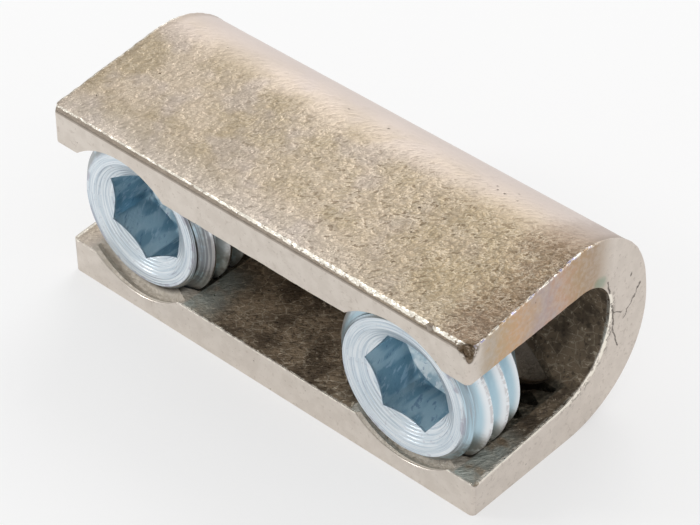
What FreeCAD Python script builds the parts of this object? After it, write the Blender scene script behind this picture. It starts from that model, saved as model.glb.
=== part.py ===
"""Screw terminal: a nickel-plated brass channel with two hex-socket clamp screws.

Millimetres. X runs along the channel, Y from its open mouth (-Y) to its round back (+Y),
Z up. The origin is under the middle of the bounding box, on the flat underside.
"""
import FreeCAD, Part
import os
import Sketcher
from FreeCAD import Placement, Rotation, Vector

os.makedirs("parts", exist_ok=True)
doc = FreeCAD.newDocument("screw_terminal")

# Driving dimensions: alias, value, meaning
SIZES = [
    ("body_length", 23.6, "channel along X, end face to end face"),
    ("body_depth", 11.7, "mouth of the upper flange to the back of the bend"),
    ("mouth_height", 9.55, "underside to the top of the upper flange at the mouth"),
    ("top_slope", 6.5, "degrees by which the top climbs from the mouth to the back"),
    ("back_lean", 9.0, "degrees by which the back leans forward as it rises"),
    ("heel_radius", 4.9, "outer bend between underside and back"),
    ("shoulder_radius", 4.8, "outer bend between back and top"),
    ("upper_lip", 1.85, "upper flange's thickness at the mouth"),
    ("lower_lip", 1.8, "lower flange's thickness at the mouth"),
    ("lip_setback", 0.6, "how far the lower lip stands behind the upper one"),
    ("upper_root", 2.6, "upper flange's thickness carried back to the cavity's end"),
    ("lower_root", 2.4, "lower flange's thickness carried back to the cavity's end"),
    ("back_wall", 2.55, "wall behind the cavity"),
    ("cavity_heel_radius", 2.9, "inner bend above the lower flange"),
    ("cavity_shoulder_radius", 2.0, "inner bend below the upper flange"),
    ("edge_round", 0.22, "worn rounding of the lips' and end faces' edges"),
    ("screw_inset", 4.0, "end face to the axis of the screw beside it"),
    ("thread_diameter", 7.3, "the screws' M8 x 1 thread at its pitch cylinder"),
    ("thread_clearance", 0.05, "radial running clearance in the tapped holes"),
    ("hole_depth", 6.9, "upper lip to the end of the full tapped bore"),
    ("drill_angle", 31.0, "degrees between a drilled hole's end cone and its flat"),
    ("entry_step", 0.15, "how much wider than the bore the hole's entry is, on radius"),
    ("entry_depth", 0.75, "upper lip to the end of the wider entry"),
    ("screw_length", 5.5, "front face to the flat of the point"),
    ("screw_chamfer", 0.37, "45 degree chamfer round the front face"),
    ("tip_diameter", 2.5, "flat end of the 45 degree point"),
    ("key_size", 4.0, "hex socket across flats"),
    ("socket_depth", 2.6, "full depth of the hex socket"),
    ("dish_width", 0.8, "how far the socket's dished mouth reaches past the flats"),
    ("dish_angle", 30.0, "degrees between the dish and the front face"),
    ("left_depth", 0.98, "upper lip to the left screw's front face, as it stands"),
    ("right_depth", 0.63, "upper lip to the right screw's front face, as it stands"),
    ("left_turn", 0.0, "degrees by which the left socket's corner is turned from straight down"),
    ("right_turn", 33.0, "degrees by which the right socket's corner is turned from straight down"),
]

sheet = doc.addObject("Spreadsheet::Sheet", "sizes")
for row, (alias, value, meaning) in enumerate(SIZES, 1):
    sheet.set("A%d" % row, alias)
    sheet.set("B%d" % row, str(value))
    sheet.set("C%d" % row, meaning)
    sheet.setAlias("B%d" % row, alias)
doc.recompute()

# Places that several features share, as expressions of the sheet
MOUTH = "(-sizes.body_depth / 2)"
LOWER_MOUTH = "(%s + sizes.lip_setback)" % MOUTH
SLOPE = "tan(sizes.top_slope * 1deg)"
LEAN = "tan(sizes.back_lean * 1deg)"
HEEL_TANGENT = "(sizes.heel_radius / tan(45deg - sizes.back_lean * 0.5deg))"
FOOT = "(sizes.body_depth / 2 - sizes.heel_radius + %s)" % HEEL_TANGENT
CREST = "((sizes.mouth_height + (%s - %s) * %s) / (1 + %s * %s))" % (FOOT, MOUTH, SLOPE, SLOPE, LEAN)
CREST_Y = "(%s - %s * %s)" % (FOOT, CREST, LEAN)
CAVITY_BACK = "(sizes.body_depth / 2 - sizes.back_wall)"
CAVITY_TOP = "(sizes.mouth_height + (%s - %s) * %s - sizes.upper_root)" % (CAVITY_BACK, MOUTH, SLOPE)
UPPER_EDGE = "(sizes.mouth_height - sizes.upper_lip)"
SCREW_X = "(sizes.body_length / 2 - sizes.screw_inset)"
SCREW_Z = "((%s + sizes.lower_lip) / 2)" % UPPER_EDGE
THREAD = "(sizes.thread_diameter / 2)"
BORE = "(%s + sizes.thread_clearance)" % THREAD
ENTRY = "(%s + sizes.entry_step)" % BORE
DRILL = "tan(sizes.drill_angle * 1deg)"
TIP = "(sizes.tip_diameter / 2)"
FLAT = "(sizes.key_size / 2)"
DISH = "(%s + sizes.dish_width)" % FLAT
OVERCUT = 1.0   # how far a cutting profile stands clear of the metal

# A bend is never larger than its wall has room for: the shoulder has what the heel leaves of
# the back, and the cavity's two bends share the height of its end
BACK_SHARE = 0.95
CAVITY_HEEL_SHARE = 0.55
CAVITY_SHOULDER_SHARE = 0.38
BACK_LEFT = "(%s / cos(sizes.back_lean * 1deg) - %s)" % (CREST, HEEL_TANGENT)
SHOULDER_ROOM = "%g * %s * tan(45deg + (sizes.back_lean - sizes.top_slope) * 0.5deg)" % (
    BACK_SHARE, BACK_LEFT)
CAVITY_HEIGHT = "(%s - sizes.lower_root)" % CAVITY_TOP
SHOULDER = "min(sizes.shoulder_radius; %s)" % SHOULDER_ROOM
CAVITY_HEEL = "min(sizes.cavity_heel_radius; %g * %s)" % (CAVITY_HEEL_SHARE, CAVITY_HEIGHT)
CAVITY_SHOULDER = "min(sizes.cavity_shoulder_radius; %g * %s)" % (
    CAVITY_SHOULDER_SHARE, CAVITY_HEIGHT)


def value_of(expression):
    return float(sheet.evalExpression(expression))


def plane_of(body, role):
    return next(feature for feature in body.Origin.OriginFeatures if feature.Role == role)


def sketch_on(body, role, name, offset=None):
    """A sketch on one of the body's own planes, moved by offset, three expressions."""
    sketch = body.newObject("Sketcher::SketchObject", name)
    sketch.AttachmentSupport = (plane_of(body, role), [""])
    sketch.MapMode = "FlatFace"
    for axis, expression in zip("xyz", offset or ()):
        sketch.setExpression("AttachmentOffset.Base.%s" % axis, expression)
    return sketch


def closed_outline(sketch, corners):
    """A closed polygon whose corners' two coordinates are bound to expressions."""
    points = [Vector(value_of(across), value_of(up), 0) for across, up in corners]
    for here, there in zip(points, points[1:] + points[:1]):
        sketch.addGeometry(Part.LineSegment(here, there), False)
    for line in range(len(points)):
        sketch.addConstraint(Sketcher.Constraint("Coincident", line, 2, (line + 1) % len(points), 1))
    for line, (across, up) in enumerate(corners):
        for kind, expression in (("DistanceX", across), ("DistanceY", up)):
            size = value_of(expression)
            index = sketch.addConstraint(Sketcher.Constraint(kind, -1, 1, line, 1, size))
            sketch.setExpression("Constraints[%d]" % index, expression)


def edges_through(shape, y, z):
    """Names of the edges along X that pass through one place of the section."""
    names = []
    for number, edge in enumerate(shape.Edges, 1):
        ends = [vertex.Point for vertex in edge.Vertexes]
        if all(abs(end.y - y) < 1e-4 and abs(end.z - z) < 1e-4 for end in ends):
            names.append("Edge%d" % number)
    return names


def revolved_cut(body, name, offset, corners):
    """A turned cut about the Y direction through offset."""
    sketch = sketch_on(body, "XY_Plane", name + "_profile", offset)
    closed_outline(sketch, corners)
    cut = body.newObject("PartDesign::Groove", name)
    cut.Profile = sketch
    cut.ReferenceAxis = (sketch, ["V_Axis"])
    cut.Angle = 360
    doc.recompute()
    return cut


def channel_body():
    """The cast channel: tapering flanges, round back, and the two tapped holes in its mouth."""
    body = doc.addObject("PartDesign::Body", "channel_body")
    body.Label = "channel_body"
    section = [
        (LOWER_MOUTH, "0"), (FOOT, "0"), (CREST_Y, CREST), (MOUTH, "sizes.mouth_height"),
        (MOUTH, UPPER_EDGE), (CAVITY_BACK, CAVITY_TOP), (CAVITY_BACK, "sizes.lower_root"),
        (LOWER_MOUTH, "sizes.lower_lip"),
    ]
    sketch = sketch_on(body, "YZ_Plane", "section")
    closed_outline(sketch, section)
    channel = body.newObject("PartDesign::Pad", "channel")
    channel.Profile = sketch
    channel.SideType = "Symmetric"
    channel.setExpression("Length", "sizes.body_length")
    doc.recompute()

    solid = channel
    bends = [
        ("heel", section[1], "sizes.heel_radius"), ("shoulder", section[2], SHOULDER),
        ("cavity_shoulder", section[5], CAVITY_SHOULDER),
        ("cavity_heel", section[6], CAVITY_HEEL),
    ]
    for name, (y, z), radius in bends:
        bend = body.newObject("PartDesign::Fillet", name)
        bend.Base = (solid, edges_through(solid.Shape, value_of(y), value_of(z)))
        bend.setExpression("Radius", radius)
        doc.recompute()
        solid = bend

    end = value_of("sizes.body_length / 2")
    worn = [
        "Edge%d" % number for number, edge in enumerate(solid.Shape.Edges, 1)
        if all(abs(abs(vertex.X) - end) < 1e-4 for vertex in edge.Vertexes)
        and abs(edge.Vertexes[0].X - edge.Vertexes[-1].X) < 1e-4
    ]
    for y, z in (section[0], section[3], section[4], section[7]):
        worn += edges_through(solid.Shape, value_of(y), value_of(z))
    rounding = body.newObject("PartDesign::Fillet", "worn_edges")
    rounding.Base = (solid, worn)
    rounding.setExpression("Radius", "sizes.edge_round")
    doc.recompute()

    hole = [
        ("0", "%s - %g" % (MOUTH, OVERCUT)),
        (ENTRY, "%s - %g" % (MOUTH, OVERCUT)),
        (ENTRY, "%s + sizes.entry_depth" % MOUTH),
        (BORE, "%s + sizes.entry_depth + sizes.entry_step" % MOUTH),
        (BORE, "%s + sizes.hole_depth" % MOUTH),
        ("0", "%s + sizes.hole_depth + %s * %s" % (MOUTH, BORE, DRILL)),
    ]
    revolved_cut(body, "left_hole", ("-" + SCREW_X, "0", SCREW_Z), hole)
    revolved_cut(body, "right_hole", (SCREW_X, "0", SCREW_Z), hole)
    return body


def clamp_screw(name, x, depth, turn):
    """A socket set screw, front face at its own y = 0 and 45 degree point towards +Y."""
    body = doc.addObject("PartDesign::Body", name)
    body.Label = name
    blank = sketch_on(body, "XY_Plane", name + "_blank")
    closed_outline(blank, [
        ("0", "0"), ("%s - sizes.screw_chamfer" % THREAD, "0"), (THREAD, "sizes.screw_chamfer"),
        (THREAD, "sizes.screw_length - (%s - %s)" % (THREAD, TIP)),
        (TIP, "sizes.screw_length"), ("0", "sizes.screw_length"),
    ])
    turned = body.newObject("PartDesign::Revolution", name + "_turned")
    turned.Profile = blank
    turned.ReferenceAxis = (blank, ["V_Axis"])
    turned.Angle = 360
    doc.recompute()

    hexagon = sketch_on(body, "XZ_Plane", name + "_hexagon")
    corner = "sizes.key_size / sqrt(3)"
    closed_outline(hexagon, [
        ("%s * sin(%ddeg)" % (corner, angle), "-%s * cos(%ddeg)" % (corner, angle))
        for angle in range(0, 360, 60)
    ])
    socket = body.newObject("PartDesign::Pocket", name + "_socket")
    socket.Profile = hexagon
    socket.setExpression("Length", "sizes.socket_depth")
    socket.Reversed = False
    doc.recompute()

    revolved_cut(body, name + "_dish", None, [
        ("0", "-%g" % OVERCUT), (DISH, "-%g" % OVERCUT), (DISH, "0"),
        ("0", "%s * tan(sizes.dish_angle * 1deg)" % DISH),
    ])
    revolved_cut(body, name + "_drill_point", None, [
        ("0", "0"), (FLAT, "0"), (FLAT, "sizes.socket_depth"),
        ("0", "sizes.socket_depth + %s * %s" % (FLAT, DRILL)),
    ])
    body.setExpression("Placement.Base.x", x)
    body.setExpression("Placement.Base.y", "%s + %s" % (MOUTH, depth))
    body.setExpression("Placement.Base.z", SCREW_Z)
    body.Placement = Placement(body.Placement.Base, Rotation(Vector(0, 1, 0), value_of(turn)))
    doc.recompute()
    return body


pieces = [
    channel_body(),
    clamp_screw("left_clamp_screw", "-" + SCREW_X, "sizes.left_depth", "sizes.left_turn"),
    clamp_screw("right_clamp_screw", SCREW_X, "sizes.right_depth", "sizes.right_turn"),
]
doc.recompute()

for item in doc.Objects:
    if "Invalid" in item.State or "Error" in item.State:
        raise RuntimeError("%s failed: %s" % (item.Label, item.State))
for piece in pieces:
    if piece.Shape.isNull() or not piece.Shape.isValid() or len(piece.Shape.Solids) != 1:
        raise RuntimeError("%s is not one valid solid" % piece.Label)
for piece in pieces:
    piece.Shape.exportStep("parts/%s.step" % piece.Label)
    box = piece.Shape.optimalBoundingBox(True, False)
    print("%s: %.2f mm3, X %.3f..%.3f, Y %.3f..%.3f, Z %.3f..%.3f" % (
        piece.Label, piece.Shape.Volume, box.XMin, box.XMax, box.YMin, box.YMax, box.ZMin, box.ZMax))
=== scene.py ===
"""Looks of the screw terminal: its tarnished plated channel and two blue zinc clamp screws.

The pieces are modelled in millimetres in the part's own frame, and brought to metres when
they are finished.
"""
import math

import bmesh
import bpy
from mathutils import Matrix, Vector


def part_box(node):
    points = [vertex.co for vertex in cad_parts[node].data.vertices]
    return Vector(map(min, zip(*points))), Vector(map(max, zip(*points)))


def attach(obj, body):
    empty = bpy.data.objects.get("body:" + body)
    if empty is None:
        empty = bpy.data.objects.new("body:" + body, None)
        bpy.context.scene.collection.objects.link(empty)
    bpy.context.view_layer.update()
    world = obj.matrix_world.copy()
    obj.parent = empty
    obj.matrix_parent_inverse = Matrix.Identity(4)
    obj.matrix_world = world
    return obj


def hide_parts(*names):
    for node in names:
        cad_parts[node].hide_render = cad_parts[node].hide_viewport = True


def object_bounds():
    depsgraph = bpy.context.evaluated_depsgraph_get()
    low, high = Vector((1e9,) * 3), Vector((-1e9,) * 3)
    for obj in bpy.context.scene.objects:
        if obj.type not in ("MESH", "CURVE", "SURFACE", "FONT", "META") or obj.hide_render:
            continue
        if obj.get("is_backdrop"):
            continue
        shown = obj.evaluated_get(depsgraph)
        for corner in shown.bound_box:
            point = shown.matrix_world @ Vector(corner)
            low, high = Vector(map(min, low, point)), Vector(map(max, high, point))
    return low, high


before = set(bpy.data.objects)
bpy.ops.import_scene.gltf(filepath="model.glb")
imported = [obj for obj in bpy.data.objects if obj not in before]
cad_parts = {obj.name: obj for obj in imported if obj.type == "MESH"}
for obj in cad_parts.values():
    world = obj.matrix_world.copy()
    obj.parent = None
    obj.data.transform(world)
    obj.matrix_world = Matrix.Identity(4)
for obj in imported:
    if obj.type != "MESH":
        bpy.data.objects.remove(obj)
CAD_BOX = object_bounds()

MM = 0.001


# Sizes

def corners_of(node):
    """A CAD node's lowest and highest corners in millimetres."""
    low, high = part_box(node)
    return low / MM, high / MM


BODY_LOW, BODY_HIGH = corners_of("channel_body")
END = BODY_HIGH.x                   # end faces at x = -END and END
MOUTH = BODY_LOW.y                  # the upper lip's face
BACK = BODY_HIGH.y                  # furthest line of the round back

MOUTH_HEIGHT = 9.55
TOP_SLOPE = math.radians(6.5)
BACK_LEAN = math.radians(9)
HEEL_RADIUS = 4.9
SHOULDER_RADIUS = 4.8
UPPER_LIP = 1.85
LOWER_LIP = 1.8
LIP_SETBACK = 0.6
UPPER_ROOT = 2.6
LOWER_ROOT = 2.4
BACK_WALL = 2.55
CAVITY_HEEL_RADIUS = 2.9
CAVITY_SHOULDER_RADIUS = 2.0
LIP_CORNER = 0.24                   # upright corners between the lips and the end faces
ROLL_HEIGHT = 0.26                  # dull rolled edge along the top of the upper lip
ROLL_DEPTH = 0.12
SPARE = 0.3                         # metal over, before the lips are sheared and the ends sawn

LOWER_MOUTH = MOUTH + LIP_SETBACK
UPPER_EDGE = MOUTH_HEIGHT - UPPER_LIP
CAVITY_BACK = BACK - BACK_WALL
FOOT = BACK - HEEL_RADIUS + HEEL_RADIUS / math.tan(math.radians(45) - BACK_LEAN / 2)
TOP_RISE = math.tan(TOP_SLOPE)
BACK_FALL = math.tan(BACK_LEAN)
CREST = (MOUTH_HEIGHT + (FOOT - MOUTH) * TOP_RISE) / (1 + TOP_RISE * BACK_FALL)
CREST_Y = FOOT - CREST * BACK_FALL
CAVITY_TOP = MOUTH_HEIGHT + (CAVITY_BACK - MOUTH) * TOP_RISE - UPPER_ROOT
ROOF_RISE = (CAVITY_TOP - UPPER_EDGE) / (CAVITY_BACK - MOUTH)
FLOOR_RISE = (LOWER_ROOT - LOWER_LIP) / (CAVITY_BACK - LOWER_MOUTH)
MIDDLE = (LOWER_LIP + UPPER_EDGE) / 2

PITCH = 1.0
CREST_RADIUS = 3.97
ROOT_RADIUS = 3.39
CREST_AT_EAST = -4.183              # y of a crest where the thread points along +X
THREAD_SLACK = 0.03                 # between the screws' flanks and the tapped ones
TAPPED_MINOR = 3.46
TAPPED_MAJOR = 4.02
TAPPED_DEPTH = 6.9                  # full thread, from the upper lip
DRILL_ANGLE = math.radians(31)
DRILL_RADIUS = 3.47
DRILL_LEAD = 0.36                   # how far the drill went past the full thread
ENTRY_RADIUS = 3.95                 # countersink, at the lower lip
ENTRY_DEPTH = 0.5

LEFT_LOW, LEFT_HIGH = corners_of("left_clamp_screw")
RIGHT_LOW, RIGHT_HIGH = corners_of("right_clamp_screw")
SCREW_X = (RIGHT_LOW.x + RIGHT_HIGH.x) / 2
SCREW_Z = (RIGHT_LOW.z + RIGHT_HIGH.z) / 2
FACE_RADIUS = 3.28                  # flat ring round the socket's dish
TIP_RADIUS = 1.25
KEY_SIZE = 4.0
SOCKET_DEPTH = 2.6
DISH_RADIUS = 2.8
DISH_ANGLE = math.radians(30)
SOCKET_TURNS = {"left": 0, "right": 33}
STEPS = 96                          # straight facets in one turn

SKIN_STEP = 0.1                     # spacing of the casting's skin, before its grain
SKIN_KEPT = 0.56                    # share of the skin's faces that is kept, after it
WAVE_HEIGHT = 0.14
GRAIN_HEIGHT = 0.13
BURR_HEIGHT = 0.16
BURR_WIDTH = 0.28
CAVITY_GRAIN = 0.5                  # share of the grain in the cavity
BACK_WALL_GRAIN = 0.08              # and on its back wall, where the screws' points come close
BACK_WALL_START = 1.4               # y from which that share holds

CORNER_CHIP = (END - 0.12, MOUTH + 0.10, MOUTH_HEIGHT - 0.10)
CORNER_CHIPS = (                    # offset from that place, size and seed
    ((0, 0, 0), (0.34, 0.26, 0.36), 4),
    ((0.12, -0.02, -0.34), (0.30, 0.22, 0.34), 9),
    ((-0.36, -0.06, 0.08), (0.26, 0.20, 0.20), 2),
)
LOW_CHIP = (END - 0.04, LOWER_MOUTH + 0.1, LOWER_LIP)
LIP_BLOB = (9.65, MOUTH + 0.06, MOUTH_HEIGHT - 0.04)


# Modelling by operators

def take(piece):
    """Makes one piece the only selected object, and the active one."""
    bpy.ops.object.select_all(action="DESELECT")
    piece.select_set(True)
    bpy.context.view_layer.objects.active = piece


def edit(piece):
    take(piece)
    bpy.ops.object.mode_set(mode="EDIT")


def done():
    bpy.ops.object.mode_set(mode="OBJECT")


def pick_edges(test):
    """Selects the edges that pass the test, and nothing else."""
    bpy.ops.mesh.select_mode(type="EDGE")
    bpy.ops.mesh.select_all(action="DESELECT")
    mesh = bpy.context.edit_object.data
    shape = bmesh.from_edit_mesh(mesh)
    for edge in shape.edges:
        if test(edge):
            edge.select_set(True)
    bmesh.update_edit_mesh(mesh)


def started_at(name, place):
    """A new piece that is one vertex, left in edit mode, ready to be extruded."""
    bpy.ops.object.select_all(action="DESELECT")
    bpy.ops.mesh.primitive_plane_add(size=1, location=(0, 0, 0))
    piece = bpy.context.active_object
    piece.name = piece.data.name = name
    bpy.ops.object.mode_set(mode="EDIT")
    bpy.ops.mesh.select_mode(type="VERT")
    bpy.ops.mesh.select_all(action="SELECT")
    bpy.ops.mesh.merge(type="CENTER")
    bpy.ops.mesh.select_all(action="SELECT")
    bpy.ops.transform.translate(value=place)
    return piece


def drawn(name, points, closed=False):
    """A line extruded from point to point, closed to a face if asked."""
    piece = started_at(name, points[0])
    for here, there in zip(points, points[1:]):
        step = Vector(there) - Vector(here)
        bpy.ops.mesh.extrude_region_move(TRANSFORM_OT_translate={"value": step})
    if closed:
        bpy.ops.mesh.select_all(action="SELECT")
        bpy.ops.mesh.edge_face_add()
    done()
    return piece


def finished_by(piece, kind, **settings):
    """Adds a modifier and applies it."""
    take(piece)
    modifier = piece.modifiers.new(kind.title(), kind)
    for name, value in settings.items():
        setattr(modifier, name, value)
    bpy.ops.object.modifier_apply(modifier=modifier.name)
    return piece


def outside_out(piece):
    """Merges doubles and points every face outwards."""
    edit(piece)
    bpy.ops.mesh.select_all(action="SELECT")
    bpy.ops.mesh.remove_doubles(threshold=1e-4)
    bpy.ops.mesh.normals_make_consistent(inside=False)
    done()
    return piece


def bar(name, section, half_length):
    """A solid with one section all along X, from points (y, z)."""
    piece = drawn(name, [(-half_length, y, z) for y, z in section], closed=True)
    edit(piece)
    bpy.ops.mesh.select_all(action="SELECT")
    bpy.ops.mesh.extrude_region_move(TRANSFORM_OT_translate={"value": (2 * half_length, 0, 0)})
    done()
    return outside_out(piece)


def turned(name, outline, centre):
    """A solid turned about the Y direction through centre, from points (radius, y)."""
    x, z = centre
    piece = drawn(name, [(radius, y, 0) for radius, y in outline])
    finished_by(piece, "SCREW", axis="Y", angle=2 * math.pi, screw_offset=0, steps=STEPS,
                render_steps=STEPS, use_merge_vertices=True, merge_threshold=1e-4)
    edit(piece)
    bpy.ops.mesh.select_all(action="SELECT")
    bpy.ops.transform.translate(value=(x, 0, z))
    done()
    return outside_out(piece)


def threaded_rod(name, root, crest, slack, start, end, centre):
    """A rod with the screws' right-hand thread, from y = start to y = end."""
    x, z = centre
    flat = PITCH / 8 + 2 * slack
    rise = (crest - root) * math.tan(math.radians(30))
    curve = 0.06 * (crest - root)
    ease = 0.05                     # from the flank's foot to the flat of the root
    first = math.floor(start - CREST_AT_EAST) - 1 + CREST_AT_EAST
    turns = math.ceil(end - first) + 2
    profile = [
        (crest, first - flat / 2), (crest, first + flat / 2),
        (root + curve, first + flat / 2 + rise), (root, first + flat / 2 + rise + ease),
        (root, first + PITCH - flat / 2 - rise - ease),
        (root + curve, first + PITCH - flat / 2 - rise), (crest, first + PITCH - flat / 2),
    ]
    piece = drawn(name, [(radius, y, 0) for radius, y in profile])
    finished_by(piece, "SCREW", axis="Y", angle=2 * math.pi, screw_offset=PITCH,
                iterations=turns, steps=STEPS, render_steps=STEPS, use_merge_vertices=True,
                merge_threshold=1e-4)
    edit(piece)
    bpy.ops.mesh.select_all(action="SELECT")
    bpy.ops.mesh.remove_doubles(threshold=1e-4)
    for place, side in ((start, -1), (end, 1)):
        bpy.ops.mesh.select_all(action="SELECT")
        bpy.ops.mesh.bisect(plane_co=(0, place, 0), plane_no=(0, side, 0), use_fill=True,
                            clear_outer=True)
    bpy.ops.mesh.select_all(action="SELECT")
    bpy.ops.transform.translate(value=(x, 0, z))
    done()
    return outside_out(piece)


def cut(piece, tool, operation="DIFFERENCE"):
    """Cuts a piece with a tool, or keeps what they share, and puts the tool away."""
    finished_by(piece, "BOOLEAN", object=tool, operation=operation, solver="MANIFOLD")
    bpy.data.objects.remove(tool)
    return piece


def coated(piece, material):
    piece.data.materials.clear()
    piece.data.materials.append(material)


def to_metres(piece):
    take(piece)
    piece.scale = (MM, MM, MM)
    bpy.ops.object.transform_apply(location=True, rotation=True, scale=True)
    return piece


# Shader nodes by arithmetic

class Value:
    """One output of a finish's nodes. Arithmetic on it adds the nodes that work it out."""

    def __init__(self, finish, socket):
        self.finish = finish
        self.socket = socket

    def maths(self, operation, *others):
        return self.finish.maths(operation, self, *others)

    def __add__(self, other):
        return self.maths("ADD", other)

    def __sub__(self, other):
        return self.maths("SUBTRACT", other)

    def __mul__(self, other):
        return self.maths("MULTIPLY", other)

    def __truediv__(self, other):
        return self.maths("DIVIDE", other)

    def __rsub__(self, other):
        return self.finish.maths("SUBTRACT", other, self)

    def __abs__(self):
        return self.maths("ABSOLUTE")

    __radd__ = __add__

    def least(self, other):
        return self.maths("MINIMUM", other)

    def most(self, other):
        return self.maths("MAXIMUM", other)

    def over(self, limit):
        return self.maths("GREATER_THAN", limit)

    def wave(self, length):
        """A smooth wave between nought and one, once in each length."""
        return (self * (2 * math.pi / length)).maths("SINE") * 0.5 + 0.5

    def long_side(self, other):
        """The long side of the right triangle on these two."""
        return (self * self + other * other).maths("SQRT")

    def step(self, start, end):
        """Nought at start, one at end, smooth between them."""
        return self.finish.add(
            "ShaderNodeMapRange", {"interpolation_type": "SMOOTHSTEP"},
            {"Value": self, "From Min": start, "From Max": end}, "Result")


class Finish:
    """A material and its nodes. Places on the piece are in millimetres."""

    def __init__(self, name):
        self.material = bpy.data.materials.new(name)
        self.material.use_nodes = True
        self.tree = self.material.node_tree
        self.shader = self.tree.nodes["Principled BSDF"]
        place = self.add("ShaderNodeTexCoord", output="Object")
        self.place = self.add("ShaderNodeVectorMath", {"operation": "SCALE"},
                              {0: place, "Scale": 1 / MM}, "Vector")
        self.x, self.y, self.z = (
            self.add("ShaderNodeSeparateXYZ", {}, {0: self.place}, axis) for axis in "XYZ")

    def add(self, kind, settings=None, inputs=None, output=0):
        """Adds one node: its settings first, then the values or links of its sockets."""
        node = self.tree.nodes.new(kind)
        for name, value in (settings or {}).items():
            if name == "stops":
                self.set_stops(node, value)
            else:
                setattr(node, name, value)
        for name, value in (inputs or {}).items():
            self.join(node.inputs[name], value)
        return Value(self, node.outputs[output])

    def set_stops(self, node, stops):
        elements = node.color_ramp.elements
        while len(elements) < len(stops):
            elements.new(1)
        for element, (place, colour) in zip(elements, stops):
            element.position = place
            element.color = colour

    def join(self, socket, value):
        if isinstance(value, Value):
            self.tree.links.new(value.socket, socket)
        else:
            socket.default_value = value

    def maths(self, operation, *values):
        return self.add("ShaderNodeMath", {"operation": operation}, dict(enumerate(values)))

    def mix(self, factor, first, second):
        """Colours mixed: the second where the factor is one."""
        return self.add("ShaderNodeMix", {"data_type": "RGBA"},
                        {0: factor, 6: first, 7: second}, 2)

    def ramp(self, factor, stops):
        return self.add("ShaderNodeValToRGB", {"stops": stops}, {0: factor}, "Color")

    def placed(self, stretch=(1, 1, 1), turn=(0, 0, 0)):
        """Places turned and stretched, to run a pattern along a direction."""
        return self.add("ShaderNodeMapping", {"vector_type": "TEXTURE"},
                        {"Vector": self.place, "Rotation": turn, "Scale": stretch})

    def point(self, x, y, z):
        """A place made of three values, for a pattern that follows a form."""
        return self.add("ShaderNodeCombineXYZ", {}, {0: x, 1: y, 2: z})

    def noise(self, size, detail, roughness, place=None):
        """Cloudy noise about size millimetres across."""
        return self.add("ShaderNodeTexNoise", {}, {
            "Vector": place or self.place, "Scale": 1 / size, "Detail": detail,
            "Roughness": roughness}, "Fac")

    def cells(self, size, feature="F1", place=None):
        """How far a place is from the nearest cell's middle or edge."""
        return self.add("ShaderNodeTexVoronoi", {"feature": feature}, {
            "Vector": place or self.place, "Scale": 1 / size}, "Distance")

    def bump(self, height, depth):
        """Relief, depth millimetres deep where the height is one."""
        return self.add("ShaderNodeBump", {}, {
            "Height": height, "Distance": depth * MM, "Strength": 1.0}, "Normal")

    def set(self, **values):
        for name, value in values.items():
            self.join(self.shader.inputs[name.replace("_", " ")], value)


def tint(red, green, blue):
    """A colour from its screen values, 0 to 255."""
    linear = [
        level / 12.92 if level <= 0.04045 else ((level + 0.055) / 1.055) ** 2.4
        for level in (red / 255, green / 255, blue / 255)
    ]
    return (*linear, 1.0)


def point_gap(x, y, z, place):
    """How far a place is from a point."""
    return (x - place[0]).long_side(y - place[1]).long_side(z - place[2])


def line_gap(across, up, points):
    """How far a place is from the line drawn through points."""
    gaps = []
    for (a, b), (c, d) in zip(points, points[1:]):
        length = (c - a) ** 2 + (d - b) ** 2
        along = ((across - a) * (c - a) + (up - b) * (d - b)) / length
        share = along.least(1).most(0)
        gaps.append((across - a - share * (c - a)).long_side(up - b - share * (d - b)))
    nearest = gaps[0]
    for gap in gaps[1:]:
        nearest = nearest.least(gap)
    return nearest


# The channel

def channel_section():
    """The section's corners, with some metal to spare at the lips."""
    return [
        (LOWER_MOUTH - SPARE, 0), (FOOT, 0), (CREST_Y, CREST),
        (MOUTH - SPARE, MOUTH_HEIGHT - SPARE * TOP_RISE),
        (MOUTH - SPARE, UPPER_EDGE - SPARE * ROOF_RISE), (CAVITY_BACK, CAVITY_TOP),
        (CAVITY_BACK, LOWER_ROOT), (LOWER_MOUTH - SPARE, LOWER_LIP - SPARE * FLOOR_RISE),
    ]


def rounded_along(piece, corner, radius, turn, segments):
    """Rounds the edge that runs along X through one corner of the section."""
    y, z = corner
    edit(piece)
    pick_edges(lambda edge: all(abs(end.co.y - y) < 0.01 and abs(end.co.z - z) < 0.01
                                for end in edge.verts))
    bpy.ops.mesh.bevel(offset=radius * math.tan(turn / 2), offset_type="OFFSET",
                       segments=segments, affect="EDGES", clamp_overlap=False)
    done()


def channel_blank():
    """The channel's bar, with its bends rounded."""
    section = channel_section()
    piece = bar("plated_channel", section, END + SPARE)
    square = math.pi / 2
    rounded_along(piece, section[1], HEEL_RADIUS, square + BACK_LEAN, 18)
    rounded_along(piece, section[2], SHOULDER_RADIUS, square + TOP_SLOPE - BACK_LEAN, 18)
    rounded_along(piece, section[5], CAVITY_SHOULDER_RADIUS, square + math.atan(ROOF_RISE), 12)
    rounded_along(piece, section[6], CAVITY_HEEL_RADIUS, square + math.atan(FLOOR_RISE), 14)
    return piece


def marked(piece, name, weight):
    """A vertex group whose weights come from each point's place and normal."""
    group = piece.vertex_groups.new(name=name)
    for vertex in piece.data.vertices:
        share = weight(vertex.co, vertex.normal)
        if share > 0.005:
            group.add([vertex.index], min(share, 1.0), "REPLACE")


def top_at(y):
    return MOUTH_HEIGHT + (y - MOUTH) * TOP_RISE


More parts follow.
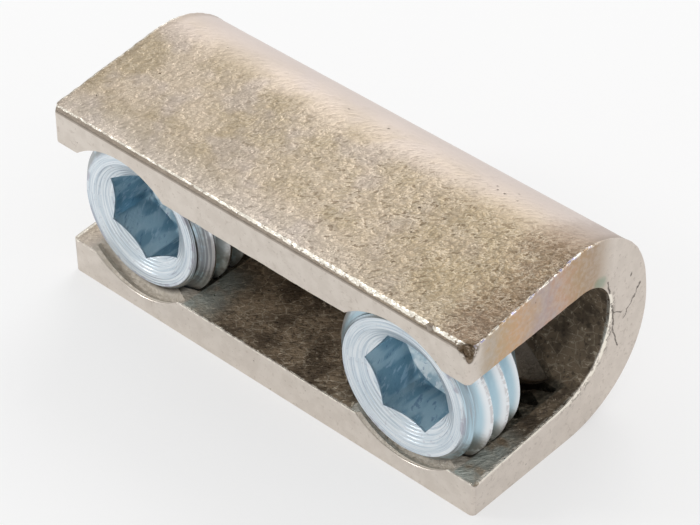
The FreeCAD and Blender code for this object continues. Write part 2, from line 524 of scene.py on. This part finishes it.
def cast_share(place, normal):
    """How rough the casting is here: most on the top and back, not at all underneath."""
    if normal.z < -0.6 and place.z < 0.4:
        return 0.0
    inside = (place.z < top_at(place.y) - 1.2 and LOWER_LIP - 0.3 < place.z
              and place.y < CAVITY_BACK + 0.1)
    if inside:
        return CAVITY_GRAIN if place.y < BACK_WALL_START else BACK_WALL_GRAIN
    smoother = min(1.0, max(0.0, (place.y + 0.6) / 2.6))
    return (1.0 - 0.88 * smoother) * (0.85 + 0.15 * min(1.0, max(-1.0, place.x / 6)))


def burr_share(place, normal):
    """The raised line along the top of the upper lip and of the end faces."""
    if normal.z < 0.5 or place.z < MIDDLE:
        return 0.0
    return max(0.0, 1 - abs(place.y - MOUTH - ROLL_DEPTH) / BURR_WIDTH,
               0.7 - abs(END - abs(place.x)) / BURR_WIDTH)


def cloud(name, size, depth):
    texture = bpy.data.textures.new(name, "CLOUDS")
    texture.noise_scale = size
    texture.noise_depth = depth
    texture.noise_basis = "IMPROVED_PERLIN"
    return texture


def relief(piece, texture, group, height, middle=0.5, guide=None):
    """Raises and lowers the skin by a texture, most where the group is strongest."""
    settings = {"texture": texture, "vertex_group": group, "strength": height,
                "mid_level": middle}
    if guide:
        settings.update(texture_coords="OBJECT", texture_coords_object=guide)
    finished_by(piece, "DISPLACE", **settings)


def grain_guide():
    """An empty whose own axes the casting's grain follows, along the die's draw marks."""
    guide = bpy.data.objects.new("grain guide", None)
    bpy.context.scene.collection.objects.link(guide)
    guide.rotation_euler = (0, 0, math.radians(48))
    guide.scale = (1.9, 0.9, 0.9)
    bpy.context.view_layer.update()
    return guide


def sheared_envelope():
    """The space that is left of the casting when its lips are sheared and its ends sawn."""
    above, below = BODY_HIGH.z + 1, -1
    envelope = bar("shears", [
        (LOWER_MOUTH, below), (BACK + 1, below), (BACK + 1, above),
        (MOUTH + ROLL_DEPTH, above), (MOUTH + ROLL_DEPTH, MOUTH_HEIGHT + 0.05),
        (MOUTH, MOUTH_HEIGHT - ROLL_HEIGHT), (MOUTH, MIDDLE), (LOWER_MOUTH, MIDDLE)], END)
    edit(envelope)
    pick_edges(lambda edge: all(abs(end.co.x) > END - 0.01 and end.co.y < LOWER_MOUTH + 0.01
                                for end in edge.verts)
               and abs(edge.verts[0].co.x - edge.verts[1].co.x) < 0.01
               and abs(edge.verts[0].co.z - edge.verts[1].co.z) > 0.01)
    bpy.ops.mesh.bevel(offset=LIP_CORNER, segments=6, affect="EDGES", clamp_overlap=False)
    done()
    return outside_out(envelope)


def cast_channel():
    """The bar with a cast skin: gentle waves, the grain and the burrs."""
    piece = channel_blank()
    finished_by(piece, "REMESH", mode="VOXEL", voxel_size=SKIN_STEP)
    finished_by(piece, "SMOOTH", factor=0.5, iterations=2)
    marked(piece, "cast", cast_share)
    marked(piece, "burr", burr_share)
    guide = grain_guide()
    relief(piece, cloud("waves", 3.0, 1), "cast", WAVE_HEIGHT)
    relief(piece, cloud("ripple", 0.42, 2), "cast", GRAIN_HEIGHT, guide=guide)
    relief(piece, cloud("burr", 0.3, 1), "burr", BURR_HEIGHT, middle=0.3)
    bpy.data.objects.remove(guide)
    finished_by(piece, "DECIMATE", ratio=SKIN_KEPT)
    piece.vertex_groups.clear()
    return piece


def tap_for_screw(piece, centre):
    """Takes out what the tap, the drill's point and the countersink cut for one screw."""
    start, full = MOUTH - 1, MOUTH + TAPPED_DEPTH
    cut(piece, threaded_rod("tap", TAPPED_MINOR, TAPPED_MAJOR, THREAD_SLACK, start, full, centre))
    cut(piece, turned("drill point", [
        (0, start), (DRILL_RADIUS, start), (DRILL_RADIUS, full + DRILL_LEAD),
        (0, full + DRILL_LEAD + DRILL_RADIUS * math.tan(DRILL_ANGLE))], centre))
    cut(piece, turned("countersink", [
        (0, start), (ENTRY_RADIUS, start), (ENTRY_RADIUS, LOWER_MOUTH),
        (DRILL_RADIUS, LOWER_MOUTH + ENTRY_DEPTH), (0, LOWER_MOUTH + ENTRY_DEPTH)], centre))


def rough_lump(name, place, size, seed):
    """A small knobbly solid, such as a blob of plating or the hole of a chip."""
    bpy.ops.object.select_all(action="DESELECT")
    bpy.ops.mesh.primitive_ico_sphere_add(subdivisions=2, radius=1, location=(0, 0, 0))
    piece = bpy.context.active_object
    piece.name = name
    bpy.ops.object.mode_set(mode="EDIT")
    bpy.ops.mesh.select_all(action="SELECT")
    bpy.ops.transform.vertex_random(offset=0.22, seed=seed)
    bpy.ops.transform.resize(value=size)
    bpy.ops.transform.translate(value=place)
    done()
    return piece


def on_sheared_face(face):
    """Whether a face lies flat in an end or in the front of a lip."""
    centre = face.calc_center_median()
    end = abs(face.normal.x) > 0.9999 and abs(centre.x) > END - 0.001
    front = face.normal.y < -0.9999 and min(
        abs(centre.y - MOUTH), abs(centre.y - LOWER_MOUTH)) < 0.001
    return end or front


def crisp_at_the_shears(piece):
    """Smooth shading on the casting, with a sharp line round each sheared face."""
    take(piece)
    bpy.ops.object.shade_smooth_by_angle(angle=math.radians(38))
    edit(piece)
    pick_edges(lambda edge: len({on_sheared_face(face) for face in edge.link_faces}) == 2)
    bpy.ops.mesh.mark_sharp()
    done()


def tapped_channel():
    """The finished channel: cast, sheared, tapped for both screws, and chipped in use."""
    piece = cut(cast_channel(), sheared_envelope(), "INTERSECT")
    for side in (-1, 1):
        tap_for_screw(piece, (side * SCREW_X, SCREW_Z))
    x, y, z = CORNER_CHIP
    for (right, inwards, up), size, seed in CORNER_CHIPS:
        cut(piece, rough_lump("chip", (x + right, y + inwards, z + up), size, seed))
    cut(piece, rough_lump("low chip", LOW_CHIP, (0.2, 0.26, 0.14), 5))
    cut(piece, rough_lump("blob", LIP_BLOB, (0.24, 0.17, 0.19), 7), "UNION")
    crisp_at_the_shears(piece)
    return piece


# The clamp screws

def clamp_screw(side, place, face, tip):
    """A set screw from its face to its point, with its thread, socket, dish and drill hole."""
    centre = (place, SCREW_Z)
    piece = threaded_rod(side + "_zinc_screw", ROOT_RADIUS, CREST_RADIUS, 0.0, face, tip, centre)
    outer = CREST_RADIUS + 0.1
    envelope = turned("envelope", [
        (0, face), (FACE_RADIUS, face), (outer, face + outer - FACE_RADIUS),
        (outer, tip - (outer - TIP_RADIUS)), (TIP_RADIUS, tip), (0, tip)], centre)
    cut(piece, envelope, "INTERSECT")
    bpy.ops.object.select_all(action="DESELECT")
    bpy.ops.mesh.primitive_cylinder_add(
        vertices=6, radius=KEY_SIZE / math.sqrt(3), depth=SOCKET_DEPTH + 1,
        location=(centre[0], face + (SOCKET_DEPTH - 1) / 2, centre[1]),
        rotation=(math.pi / 2, math.radians(SOCKET_TURNS[side]), 0))
    key = bpy.context.active_object
    bpy.ops.object.transform_apply(location=True, rotation=True, scale=True)
    cut(piece, key)
    dish = turned("dish", [
        (0, face - 1), (DISH_RADIUS, face - 1), (DISH_RADIUS, face),
        (0, face + DISH_RADIUS * math.tan(DISH_ANGLE))], centre)
    cut(piece, dish)
    drill = turned("drill", [
        (0, face), (KEY_SIZE / 2, face), (KEY_SIZE / 2, face + SOCKET_DEPTH),
        (0, face + SOCKET_DEPTH + KEY_SIZE / 2 * math.tan(DRILL_ANGLE))], centre)
    cut(piece, drill)
    take(piece)
    bpy.ops.object.shade_smooth_by_angle(angle=math.radians(30))
    return piece


# Finishes

END_CRACKS = [
    [(3.0, 7.5), (3.25, 6.5), (3.55, 5.5), (3.62, 4.6), (4.0, 3.4)],
    [(3.55, 5.5), (4.1, 5.2)], [(3.4, 6.0), (3.0, 5.7)], [(3.62, 4.6), (3.25, 4.2)],
    [(5.3, 6.1), (4.75, 5.2), (4.3, 4.7)],
]
FLOOR_SCRATCH = [(-5.7, -2.0), (-5.35, -1.6), (-5.0, -1.65), (-4.6, -1.05)]


def rounded_gap(y, z, flat_gap, centre, arc_gap, ways):
    """Swaps the gap from two flats for the gap from the arc that joins them, inside its bend."""
    away_y, away_z = y - centre[0], z - centre[1]
    within = None
    for way_y, way_z in ways:
        beyond = (away_y * way_y + away_z * way_z).over(0)
        within = beyond if within is None else within * beyond
    return flat_gap + (arc_gap(away_y.long_side(away_z)) - flat_gap) * within


def skin_gap(y, z):
    """How deep a place lies under the top, back and underside."""
    top_way = (math.cos(TOP_SLOPE), math.sin(TOP_SLOPE))
    back_way = (-math.sin(BACK_LEAN), math.cos(BACK_LEAN))
    top = (MOUTH_HEIGHT - MOUTH * TOP_RISE + y * TOP_RISE - z) * top_way[0]
    back = (FOOT - z * BACK_FALL - y) * back_way[1]
    shoulder_y = (FOOT - BACK_FALL * (MOUTH_HEIGHT - MOUTH * TOP_RISE
                                      - SHOULDER_RADIUS / top_way[0])
                  - SHOULDER_RADIUS / back_way[1]) / (1 + TOP_RISE * BACK_FALL)
    shoulder_z = top_at(shoulder_y) - SHOULDER_RADIUS / top_way[0]
    gap = rounded_gap(y, z, top.least(back).least(z), (shoulder_y, shoulder_z),
                      lambda reach: SHOULDER_RADIUS - reach, (top_way, back_way))
    heel_ways = ((1, 0), (-back_way[0], -back_way[1]))
    return rounded_gap(y, z, gap, (BACK - HEEL_RADIUS, HEEL_RADIUS),
                       lambda reach: HEEL_RADIUS - reach, heel_ways)


def cavity_gap(y, z):
    """How far a place lies outside the cavity's own outline."""
    roof = z - UPPER_EDGE - (y - MOUTH) * ROOF_RISE
    floor = LOWER_LIP + (y - LOWER_MOUTH) * FLOOR_RISE - z
    flat = roof.most(floor).most(y - CAVITY_BACK)
    upper_y = CAVITY_BACK - CAVITY_SHOULDER_RADIUS
    upper_z = UPPER_EDGE + (upper_y - MOUTH) * ROOF_RISE - CAVITY_SHOULDER_RADIUS
    lower_y = CAVITY_BACK - CAVITY_HEEL_RADIUS
    lower_z = LOWER_LIP + (lower_y - LOWER_MOUTH) * FLOOR_RISE + CAVITY_HEEL_RADIUS
    gap = rounded_gap(y, z, flat, (upper_y, upper_z),
                      lambda reach: reach - CAVITY_SHOULDER_RADIUS, ((1, 0), (0, 1)))
    return rounded_gap(y, z, gap, (lower_y, lower_z),
                       lambda reach: reach - CAVITY_HEEL_RADIUS, ((1, 0), (0, -1)))


def plated_brass():
    """The channel's finish, from its cast top to its sheared lips and stained cavity."""
    finish = Finish("tarnished nickel plating")
    x, y, z = finish.x, finish.y, finish.z
    upper = z.step(MIDDLE - 0.1, MIDDLE + 0.1)
    front = y - LOWER_MOUTH + upper * LIP_SETBACK
    end_gap = END - abs(x)
    corner = (LIP_CORNER - front).most(0).long_side((LIP_CORNER - end_gap).most(0))
    sheared = (LIP_CORNER - corner).step(0.05, 0.02)
    skin = skin_gap(y, z)
    inner = cavity_gap(y, z)
    east = x.over(0)
    fine = finish.noise(0.22, 3, 0.6)
    mottle = finish.noise(0.6, 3, 0.6)

    colour = rough_top(finish, front, end_gap, fine)
    creases = finish.noise(0.21, 3, 0.6, place=finish.placed((1.6, 0.85, 0.85), (0, 0, 0.84)))
    worn = x.step(-9.0, 8.0)
    quiet = (1 - y.step(-0.4, 3.0) * 0.9) * (0.75 + worn * 0.25)
    busy = quiet * (0.35 + mottle.step(0.35, 0.65) * 0.65)
    # Dark creases in the grain, partly dirt and partly painted shade, with a thin painted
    # highlight beside them on the relief's lit side.
    crease_dirt_and_shade = creases.step(0.43, 0.36) * busy
    colour = finish.mix(crease_dirt_and_shade * (0.32 + worn * 0.36), colour, tint(104, 86, 64))
    rim_light = creases.step(0.42, 0.46) * creases.step(0.56, 0.50) * busy
    colour = finish.mix(rim_light * 0.3, colour, tint(240, 229, 210))
    pits = finish.cells(0.75).step(0.10, 0.04) * mottle.step(0.5, 0.62)
    colour = finish.mix(pits * (0.4 + quiet * 0.5), colour, tint(72, 58, 42))

    # Sheared lips and sawn ends
    pale = finish.mix(mottle.step(0.35, 0.65) * 0.45, tint(221, 212, 202), tint(203, 193, 182))
    pale = finish.mix(fine.step(0.58, 0.70) * 0.3, pale, tint(168, 154, 140))
    heated = heat_tints(finish, y, z, mottle, fine)
    pale = finish.mix(east * end_gap.step(0.3, 0.1), pale, heated)
    nicks = finish.cells(0.9).step(0.06, 0.02).most(fine.step(0.30, 0.24) * 0.7)
    pale = finish.mix(nicks * 0.75, pale, tint(112, 98, 84))
    colour = finish.mix(sheared, colour, cracked(finish, pale, y, z, east, end_gap))

    # The dull rolled edge, and painted glints along the burr beside it, the ends' top edges, the
    # cavity's rim and the lower lip's inner edge
    above_shear = (z - MOUTH_HEIGHT + ROLL_HEIGHT).step(-0.02, 0.03)
    roll = front.step(ROLL_DEPTH + 0.03, ROLL_DEPTH) * above_shear
    colour = finish.mix(roll * (0.45 + mottle * 0.5), colour, tint(146, 133, 119))
    broken = finish.noise(0.3, 2, 0.7)
    lip_edge = (front - ROLL_DEPTH - 0.03).long_side(z - MOUTH_HEIGHT - 0.02)
    width = 0.055 + x.step(-5, 7) * 0.075
    glint = (lip_edge / width + (fine - 0.5) * 1.2).step(1.0, 0.7) * broken.step(0.34, 0.46)
    end_edge = end_gap.long_side(skin)
    flat_top = z.step(MIDDLE, MIDDLE + 1) * y.step(2.6, 1.6)
    glint = glint.most(end_edge.step(0.10, 0.05) * flat_top * fine.step(0.42, 0.55) * 0.9)
    rim = end_gap.long_side(inner) / (0.8 + fine) + z.step(6.6, 7.4)
    # Darker along the rim where the end faces meet the cavity, towards the back.
    rim_darkening = rim.step(0.42, 0.15) * y.step(-1.0, 1.5) * fine.step(0.50, 0.42)
    colour = finish.mix(rim_darkening * 0.5, colour, tint(98, 88, 74))
    glint = glint.most(rim.step(0.16, 0.08) * broken.step(0.36, 0.48) * 0.9)
    low_edge = (y - LOWER_MOUTH).long_side(z - LOWER_LIP)
    glint = glint.most(low_edge.step(0.12, 0.05) * fine.step(0.44, 0.52) * 0.8)
    colour = finish.mix(glint, colour, tint(253, 246, 232))
    fleck = end_edge.step(0.11, 0.05) * flat_top * east * fine.step(0.50, 0.58)
    colour = finish.mix(fleck * mottle.step(0.54, 0.58) * 0.7, colour, tint(140, 136, 196))
    chipped = point_gap(x, y, z, CORNER_CHIP).step(0.60, 0.35) * fine.step(0.62, 0.46)
    colour = finish.mix(chipped * 0.85, colour, tint(92, 76, 56))

    # The stained cavity, and the clean metal that the tap has cut, with painted shade deeper in
    # and beside the screw
    rubbed_end = x.step(-9.9, -10.6) * y.step(-2.2, -3.6)
    cavity = inner.step(0.16, 0.10) * (1 - sheared) * (1 - glint) * (1 - rubbed_end)
    stain, shine = stained(finish, x, y, z, fine)
    colour = finish.mix(cavity, colour, stain)
    reach = (abs(x) - SCREW_X).long_side(z - SCREW_Z)
    tapped = reach.step(4.12, 4.06) * y.step(1.5, 1.2) * (1 - sheared)
    # Countersink in the lip's colour; darker deeper in the hole and darkest beside the screw:
    # painted shade for the shadowed gap under the screw's face.
    cut_metal_and_shade = finish.mix(front.step(0.95, 1.25), tint(206, 197, 184), tint(92, 88, 78))
    cut_metal_and_shade = finish.mix(fine.step(0.40, 0.65) * 0.4, cut_metal_and_shade, tint(170, 158, 140))
    cut_metal_and_shade = finish.mix(reach.step(3.78, 3.55) * 0.85, cut_metal_and_shade, tint(72, 64, 54))
    colour = finish.mix(tapped, colour, cut_metal_and_shade)

    stain_share = cavity * (1 - tapped) * (0.75 - shine * 0.5)
    finish.set(
        Base_Color=colour,
        Metallic=1 - stain_share.most(tapped * front.step(1.2, 0.9) * 0.6),
        Roughness=0.46 + y.step(-0.5, 2.0) * 0.1 - sheared * 0.1 + cavity * 0.04 - glint * 0.16,
        Normal=finish.bump((creases * quiet - pits) * (1 - sheared), 0.11))
    return finish.material


def rough_top(finish, front, end_gap, fine):
    """The colours of the cast top and back, from olive champagne to pinkish."""
    x, y = finish.x, finish.y
    patches = finish.noise(2.6, 3, 0.55)
    colour = finish.mix(patches.step(0.38, 0.62), tint(204, 188, 168), tint(184, 168, 143))
    greyer = finish.noise(1.9, 2, 0.5, place=finish.placed(turn=(1, 2, 3))).step(0.50, 0.68)
    colour = finish.mix(greyer * 0.45, colour, tint(190, 178, 172))
    colour = finish.mix(x.step(-1.0, 9.0) * 0.6, colour, tint(166, 148, 118))
    # Paler towards the back: partly the smoother metal's own tone, partly a painted reflection of
    # the back lamp on the bend.
    colour = finish.mix(y.step(0.0, 3.6) * 0.88, colour, tint(219, 208, 203))
    near_lip = front.step(2.2, 0.2) * (1 - x.step(0, 8) * 0.7)
    colour = finish.mix(near_lip * 0.6, colour, tint(208, 198, 190))
    singe = ((END - x) / 3.2 + (patches - 0.5) * 1.6 + (fine - 0.5) * 0.6).step(1.0, 0.15)
    singe = singe * (0.68 - y.step(0.4, 3.4) * 0.4)
    colour = finish.mix(singe, colour, tint(116, 92, 72))
    return finish.mix(end_gap.step(0.5, 0.1) * 0.3, colour, tint(128, 112, 96))


def heat_tints(finish, y, z, mottle, fine):
    """The sawn end: pale, with a band of straw, orange and violet along the top flange."""
    place = (y - MOUTH) * 0.105 + (mottle - 0.5) * 0.3
    band = finish.ramp(place, [
        (0.02, tint(206, 196, 184)), (0.10, tint(182, 167, 148)), (0.20, tint(188, 160, 124)),
        (0.30, tint(200, 158, 116)), (0.40, tint(186, 158, 134)), (0.50, tint(176, 156, 152)),
        (0.60, tint(190, 152, 126)), (0.72, tint(178, 148, 112)), (0.82, tint(176, 152, 128)),
        (0.94, tint(190, 174, 156))])
    band = finish.mix(fine.step(0.4, 0.7) * 0.45, band, tint(198, 186, 174))
    pale = finish.mix(mottle.step(0.35, 0.65) * 0.4, tint(221, 211, 201), tint(204, 194, 184))
    pale = finish.mix(fine.step(0.56, 0.68) * 0.3, pale, tint(164, 150, 138))
    strength = y.step(MOUTH + 0.2, MOUTH + 1.2) * y.step(3.4, 2.0) * z.step(6.8, 7.4)
    colour = finish.mix(strength * 0.92, pale, band)
    green = (y - 2.5).long_side(z - 7.75) + (mottle - 0.5) * 0.8
    return finish.mix(green.step(0.55, 0.15) * 0.55, colour, tint(134, 160, 140))


def cracked(finish, colour, y, z, east, end_gap):
    """Dark hairline cracks and pits in the east end."""
    wander = (finish.noise(0.35, 2, 0.6) - 0.5) * 0.35
    gap = line_gap(y + wander, z - wander, END_CRACKS[0])
    for crack in END_CRACKS[1:]:
        gap = gap.least(line_gap(y + wander, z - wander, crack) + 0.012)
    spot = (y - 4.62).long_side(z - 6.88) + wander
    cracks = gap.step(0.06, 0.02).most(spot.step(0.13, 0.05)) * east * end_gap.step(0.2, 0.1)
    return finish.mix(cracks * 0.8, colour, tint(58, 48, 40))


def stained(finish, x, y, z, fine):
    """The oxide-brown cavity with its net of thin bright lines painted as glints, and how bare
    they are.
    """
    cloudy = finish.noise(1.6, 3, 0.65)
    colour = finish.mix(cloudy.step(0.35, 0.65), tint(98, 84, 68), tint(166, 146, 122))
    colour = finish.mix(fine.step(0.46, 0.30) * 0.7, colour, tint(52, 44, 36))
    colour = finish.mix(x.step(7.5, 9.5) * 0.3, colour, tint(60, 52, 42))
    # Thin bright lines and specks: bare metal painted bright as glints; the scratch across the
    # floor is real.
    net = finish.cells(0.42, "DISTANCE_TO_EDGE", finish.placed((1.5, 1, 1), (0, 0, 0.5)))
    glint_lines = net.step(0.06, 0.02) * cloudy.step(0.38, 0.54) * fine.step(0.42, 0.50)
    glint_lines = glint_lines * (1 - x.step(7.0, 9.0) * 0.6)
    scratch = line_gap(x, y, FLOOR_SCRATCH).step(0.07, 0.03) * z.step(4, 3)
    shine = glint_lines.most(fine.step(0.60, 0.70)).most(scratch)
    colour = finish.mix(shine * 0.8, colour, tint(226, 212, 190))
    beside = x + SCREW_X - x.over(0) * (2 * SCREW_X)
    wiped = beside.step(1.0, 2.2) * beside.step(5.0, 3.0) * y.step(-1.4, -3.2) * z.step(4, 3)
    wiped = wiped * cloudy.step(0.70, 0.50)
    return finish.mix(wiped * 0.9, colour, tint(204, 208, 199)), shine.most(wiped)


def zinc_steel():
    """The screws' finish: turned face, bluer flanks, soiled edges and a deep blue socket."""
    finish = Finish("blue zinc plating")
    x, y, z = finish.x, finish.y, finish.z
    east = x.over(0)
    face = LEFT_LOW.y + east * (RIGHT_LOW.y - LEFT_LOW.y)
    into = y - face
    across = x + SCREW_X - east * (2 * SCREW_X)
    up = z - SCREW_Z
    reach = across.long_side(up)
    angle = finish.maths("ARCTAN2", up, across)
    mottle = finish.noise(0.9, 3, 0.6)
    fine = finish.noise(0.18, 2, 0.6)

    # Turned rings on the face, the dish and the point
    around = finish.point(reach * 15, angle * 0.9, east * 5)
    streaks = finish.noise(1.0, 3, 0.65, place=around)
    colour = finish.mix(streaks.step(0.35, 0.65), tint(234, 240, 244), tint(196, 210, 220))
    ringed = reach.step(3.45, 3.25) * into.step(1.7, 1.4)
    colour = finish.mix(fine.step(0.60, 0.70) * 0.3, colour, tint(172, 170, 182))

    # Thread flanks: bluer towards the root, with dirt caught on the crests, and darker patches
    # underneath, partly dirt and partly painted shade
    flank = finish.mix(reach.step(3.88, 3.58), tint(238, 242, 245), tint(186, 212, 224))
    # Darker patches on the thread's underside and near the left screw's face: partly dirt, partly
    # painted shade.
    low = abs(angle + 0.75).step(0.6, 0.2) * mottle.step(0.36, 0.50) * 0.7
    low = low.most((1 - east) * into.step(3.4, 2.2) * mottle.step(0.28, 0.56) * 0.75)
    flank = finish.mix(low, flank, tint(132, 128, 122))
    colour = finish.mix(1 - ringed, colour, flank)
    rubbed = reach.step(3.90, 3.96) * fine.step(0.40, 0.56)
    colour = finish.mix(rubbed * 0.5, colour, tint(186, 178, 178))
    shoulder = reach.step(3.20, 3.30) * into.step(0.75, 0.55)
    soiled = finish.noise(0.5, 3, 0.7, place=around).step(0.50, 0.66) * shoulder
    colour = finish.mix(soiled * 0.55, colour, tint(188, 180, 186))
    side = abs(angle - 0.1).step(1.0, 0.6) * shoulder * streaks.step(0.40, 0.56)
    colour = finish.mix(side * (0.7 - east * 0.35), colour, tint(104, 106, 112))
    face_edge = reach.step(3.10, 3.20) * mottle.step(0.5, 0.6) * 0.5
    arcs = (streaks.step(0.60, 0.68) * 0.5).most(face_edge)
    colour = finish.mix(arcs * ringed, colour, tint(150, 142, 160))

    # Torn metal where the first turn starts
    torn = finish.noise(0.16, 2, 0.6, place=finish.placed((0.7, 3.0, 0.7), (0.6, 0, 0.3)))
    start = abs(angle - 0.85).step(0.45, 0.15) * reach.step(3.55, 3.75)
    hatch = torn.step(0.46, 0.40) * start * into.step(1.3, 1.0) * into.step(0.2, 0.4)
    colour = finish.mix(hatch * 0.8, colour, tint(64, 68, 74))

    # The deep blue socket, with painted highlights and shade on its walls
    dish_depth = (DISH_RADIUS - reach) * math.tan(DISH_ANGLE)
    socket = (into - dish_depth).step(0.03, 0.12) * reach.step(2.42, 2.36)
    broad = finish.noise(0.8, 2, 0.5, place=finish.placed((0.8, 3.0, 0.8)))
    blue = finish.mix(broad.step(0.42, 0.58), tint(162, 190, 204), tint(216, 230, 236))
    scuffs_and_sheen = finish.noise(0.5, 3, 0.7, place=finish.placed((0.5, 2.0, 0.5), (0.3, 0.2, 0.5)))
    # Streaks: scuffs, painted lighter and darker also as highlights and shade on the facets.
    blue = finish.mix(scuffs_and_sheen.step(0.54, 0.66) * 0.7, blue, tint(232, 240, 246))
    blue = finish.mix(scuffs_and_sheen.step(0.42, 0.32) * 0.6, blue, tint(120, 144, 176))
    # Painted shade on the socket's far upper walls.
    far_wall_shade = (across + up - into * 0.5).step(1.5, 2.6) * scuffs_and_sheen.step(0.62, 0.42)
    blue = finish.mix(far_wall_shade * 0.75, blue, tint(72, 92, 112))
    colour = finish.mix(socket, colour, blue)

    rings = (reach + (mottle - 0.5) * 0.03).wave(0.13) * ringed * (1 - socket)
    finish.set(
        Base_Color=colour, Metallic=1.0,
        Roughness=0.30 + streaks * 0.08,
        Normal=finish.bump(rings * 0.35 + fine * 0.3 + scuffs_and_sheen * socket * 0.9, 0.03))
    return finish.material


# Floor, light and camera

FLOOR_GLOW = 0.55                   # how much of the floor's white is free of shadow
FLOOR_WIDTH = 4                     # metres


def add_floor():
    """A white floor that keeps the object's shadow, and is white in its metal too."""
    bpy.ops.object.select_all(action="DESELECT")
    bpy.ops.mesh.primitive_plane_add(size=FLOOR_WIDTH, location=(0, 0, 0))
    floor = bpy.context.active_object
    floor.name = "floor"
    finish = Finish("white floor")
    finish.set(Base_Color=(0.9, 0.9, 0.9, 1.0), Roughness=0.9)
    path = finish.tree.nodes.new("ShaderNodeLightPath")
    seen = Value(finish, path.outputs["Is Camera Ray"]).most(
        Value(finish, path.outputs["Is Glossy Ray"])).most(
        Value(finish, path.outputs["Is Transmission Ray"]))
    glow = finish.add("ShaderNodeEmission", {}, {"Color": (1, 1, 1, 1)}, "Emission")
    both = finish.add("ShaderNodeMixShader", {}, {
        0: seen * FLOOR_GLOW, 1: Value(finish, finish.shader.outputs["BSDF"]), 2: glow}, 0)
    finish.join(finish.tree.nodes["Material Output"].inputs["Surface"], both)
    coated(floor, finish.material)
    floor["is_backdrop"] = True


def add_lamp(name, place, size, power, aim=(0, 0, 5)):
    """A soft square lamp, placed and aimed in millimetres."""
    light = bpy.data.lights.new(name, "AREA")
    light.size = size * MM
    light.energy = power
    lamp = bpy.data.objects.new(name, light)
    bpy.context.scene.collection.objects.link(lamp)
    lamp.location = Vector(place) * MM
    lamp.rotation_mode = "QUATERNION"
    lamp.rotation_quaternion = (Vector(aim) - Vector(place)).to_track_quat("-Z", "Y")


def light_the_room():
    """A white room, a little brighter overhead, with two soft lamps."""
    world = bpy.data.worlds.new("studio")
    bpy.context.scene.world = world
    world.use_nodes = True
    tree = world.node_tree
    background = tree.nodes["Background"]
    background.inputs["Color"].default_value = (1, 1, 1, 1)
    direction = tree.nodes.new("ShaderNodeTexCoord")
    height = tree.nodes.new("ShaderNodeSeparateXYZ")
    level = tree.nodes.new("ShaderNodeMapRange")
    level.interpolation_type = "SMOOTHSTEP"
    for name, value in (("From Min", 0.0), ("From Max", 0.9), ("To Min", 0.60), ("To Max", 0.76)):
        level.inputs[name].default_value = value
    tree.links.new(direction.outputs["Generated"], height.inputs[0])
    tree.links.new(height.outputs["Z"], level.inputs["Value"])
    tree.links.new(level.outputs["Result"], background.inputs["Strength"])
    add_lamp("back softbox", (-60, 160, 160), 120, 0.15)
    add_lamp("front softbox", (-150, -120, 110), 40, 0.08)


CAMERA_AZIMUTH = math.radians(42.131)
CAMERA_ELEVATION = math.radians(40.234)
CAMERA_ROLL = math.radians(0.034)
CAMERA_DISTANCE = 122.519
CAMERA_ACROSS = 4.095
CAMERA_UP = 5.663
CAMERA_LENS = 145.94


def set_camera():
    """The photograph's view. Distances are from the foot of the mouth's middle."""
    back = Vector((math.sin(CAMERA_AZIMUTH) * math.cos(CAMERA_ELEVATION),
                   -math.cos(CAMERA_AZIMUTH) * math.cos(CAMERA_ELEVATION),
                   math.sin(CAMERA_ELEVATION)))
    level = Vector((0, 0, 1)).cross(back).normalized()
    upright = back.cross(level)
    right = level * math.cos(CAMERA_ROLL) + upright * math.sin(CAMERA_ROLL)
    up = upright * math.cos(CAMERA_ROLL) - level * math.sin(CAMERA_ROLL)
    place = (Vector((0, MOUTH, 0)) + back * CAMERA_DISTANCE + right * CAMERA_ACROSS
             + up * CAMERA_UP)
    lens = bpy.data.cameras.new("camera")
    lens.lens = CAMERA_LENS
    lens.sensor_width = 36
    lens.clip_start = 0.005
    camera = bpy.data.objects.new("camera", lens)
    bpy.context.scene.collection.objects.link(camera)
    camera.matrix_world = Matrix.Translation(place * MM) @ Matrix(
        (right, up, back)).transposed().to_4x4()
    bpy.context.scene.camera = camera


bpy.context.scene.view_settings.view_transform = "Standard"
set_camera()
light_the_room()
add_floor()

channel = to_metres(tapped_channel())
coated(channel, plated_brass())
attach(channel, "terminal_body")
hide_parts("channel_body")

zinc = zinc_steel()
for side, place, low, high in (("left", -SCREW_X, LEFT_LOW, LEFT_HIGH),
                               ("right", SCREW_X, RIGHT_LOW, RIGHT_HIGH)):
    screw = to_metres(clamp_screw(side, place, low.y, high.y))
    coated(screw, zinc)
    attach(screw, side + "_screw")
    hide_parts(side + "_clamp_screw")

low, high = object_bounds()
({"cad": [list(corner) for corner in CAD_BOX],
           "visual": [list(low), list(high)]})
